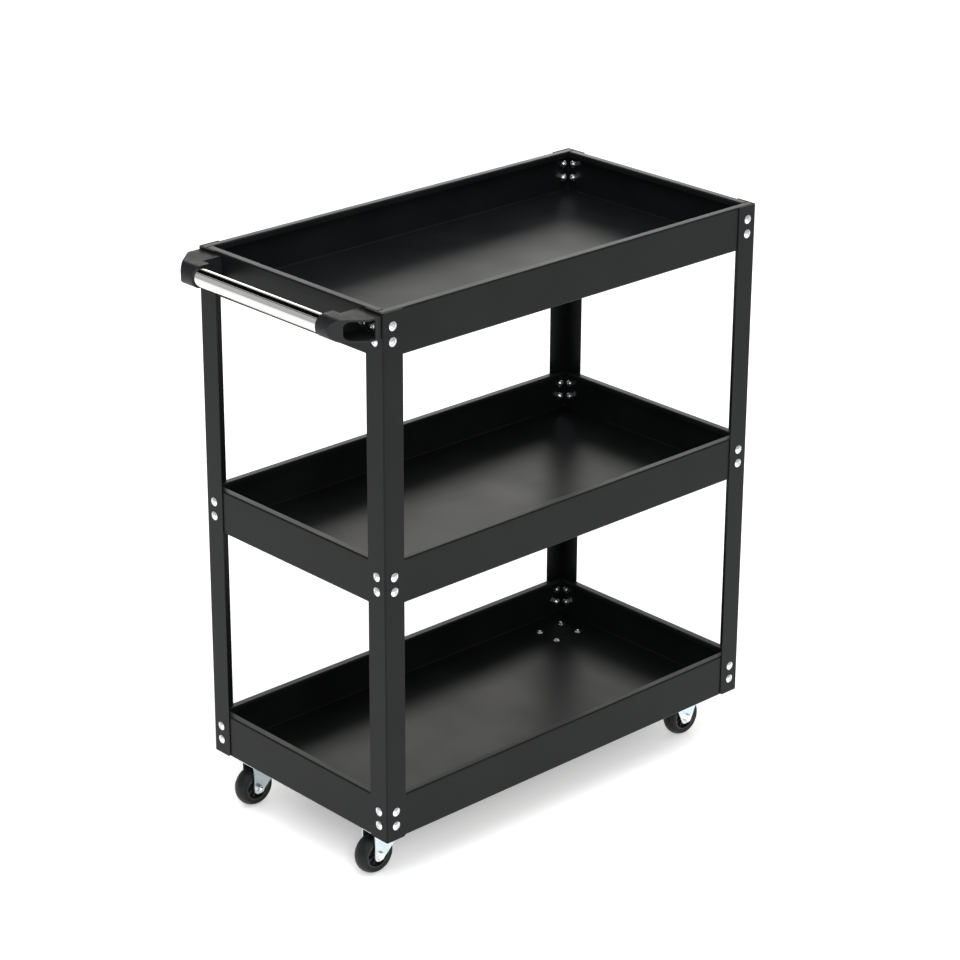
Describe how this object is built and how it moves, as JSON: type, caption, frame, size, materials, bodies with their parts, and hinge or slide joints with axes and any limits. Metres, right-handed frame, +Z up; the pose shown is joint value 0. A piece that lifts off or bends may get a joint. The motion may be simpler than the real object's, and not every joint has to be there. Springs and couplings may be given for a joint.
{
  "type": "tool cart",
  "caption": "Black steel tool cart: stacked open trays bolted to corner angle posts, a chromed push handle at one end, swivel casters under it and fixed casters at the far end.",
  "frame": {"origin": "on the floor under the middle of the overall length and width", "axes": "+Z up, +X from the handle end to the far end, +Y to the cart's left side"},
  "size_m": [0.7199, 0.36, 0.79],
  "materials": {
    "black_powder_coat": "satin powder coat with a fine texture",
    "bright_zinc_fastener": "bright zinc plate",
    "zinc_plated_pressing": "blue-white zinc plate",
    "plain_steel": "oiled steel",
    "hub_plastic": "moulded",
    "tyre_rubber": "satin rubber",
    "moulded_plastic": "fine spark texture",
    "chromed_tube": "polished chrome plate"
  },
  "bodies": {
    "frame": {"tray_bottom": "black_powder_coat", "tray_middle": "black_powder_coat", "tray_top": "black_powder_coat", "post_front_right": "black_powder_coat", "post_front_left": "black_powder_coat", "post_rear_right": "black_powder_coat", "post_rear_left": "black_powder_coat", "handle_screws": "bright_zinc_fastener", "handle_nuts": "bright_zinc_fastener", "caster_bolts": "bright_zinc_fastener", "caster_nuts": "bright_zinc_fastener", "post_screws_bottom": "bright_zinc_fastener", "post_screws_middle": "bright_zinc_fastener", "post_screws_top": "bright_zinc_fastener", "post_nuts_bottom": "bright_zinc_fastener", "post_nuts_middle": "bright_zinc_fastener", "post_nuts_top": "bright_zinc_fastener", "swivel_kingpin_right": "bright_zinc_fastener", "fixed_rivets_right": "bright_zinc_fastener", "swivel_kingpin_left": "bright_zinc_fastener", "fixed_rivets_left": "bright_zinc_fastener", "axle_bolt_rear_right": "bright_zinc_fastener", "axle_nut_rear_right": "bright_zinc_fastener", "axle_bolt_rear_left": "bright_zinc_fastener", "axle_nut_rear_left": "bright_zinc_fastener", "swivel_plate_right": "zinc_plated_pressing", "swivel_race_right": "zinc_plated_pressing", "fixed_plate_right": "zinc_plated_pressing", "fixed_fork_right": "zinc_plated_pressing", "swivel_plate_left": "zinc_plated_pressing", "swivel_race_left": "zinc_plated_pressing", "fixed_plate_left": "zinc_plated_pressing", "fixed_fork_left": "zinc_plated_pressing", "axle_sleeve_rear_right": "plain_steel", "axle_sleeve_rear_left": "plain_steel", "handle_bracket_right": "moulded_plastic", "handle_bracket_left": "moulded_plastic", "handle_tube": "chromed_tube"},
    "swivel_right": {"swivel_fork_right": "zinc_plated_pressing", "swivel_balls_right": "plain_steel", "axle_bolt_front_right": "bright_zinc_fastener", "axle_nut_front_right": "bright_zinc_fastener", "axle_sleeve_front_right": "plain_steel"},
    "wheel_front_right": {"wheel_hub_front_right": "hub_plastic", "tyre_front_right": "tyre_rubber"},
    "wheel_rear_right": {"wheel_hub_rear_right": "hub_plastic", "tyre_rear_right": "tyre_rubber"},
    "swivel_left": {"swivel_fork_left": "zinc_plated_pressing", "swivel_balls_left": "plain_steel", "axle_bolt_front_left": "bright_zinc_fastener", "axle_nut_front_left": "bright_zinc_fastener", "axle_sleeve_front_left": "plain_steel"},
    "wheel_front_left": {"wheel_hub_front_left": "hub_plastic", "tyre_front_left": "tyre_rubber"},
    "wheel_rear_left": {"wheel_hub_rear_left": "hub_plastic", "tyre_rear_left": "tyre_rubber"}
  },
  "joints": [
    {"name": "swivel_turn_right", "type": "hinge", "parent": "frame", "child": "swivel_right", "pos_m": [-0.2566, -0.1245, 0.0615], "axis": [0, 0, 1], "continuous": true},
    {"name": "swivel_turn_left", "type": "hinge", "parent": "frame", "child": "swivel_left", "pos_m": [-0.2566, 0.1245, 0.0615], "axis": [0, 0, 1], "continuous": true},
    {"name": "wheel_roll_front_right", "type": "hinge", "parent": "swivel_right", "child": "wheel_front_right", "pos_m": [-0.2806, -0.1245, 0.028], "axis": [0, 1, 0], "continuous": true},
    {"name": "wheel_roll_rear_right", "type": "hinge", "parent": "frame", "child": "wheel_rear_right", "pos_m": [0.3004, -0.1245, 0.028], "axis": [0, 1, 0], "continuous": true},
    {"name": "wheel_roll_front_left", "type": "hinge", "parent": "swivel_left", "child": "wheel_front_left", "pos_m": [-0.2806, 0.1245, 0.028], "axis": [0, 1, 0], "continuous": true},
    {"name": "wheel_roll_rear_left", "type": "hinge", "parent": "frame", "child": "wheel_rear_left", "pos_m": [0.3004, 0.1245, 0.028], "axis": [0, 1, 0], "continuous": true}
  ]
}
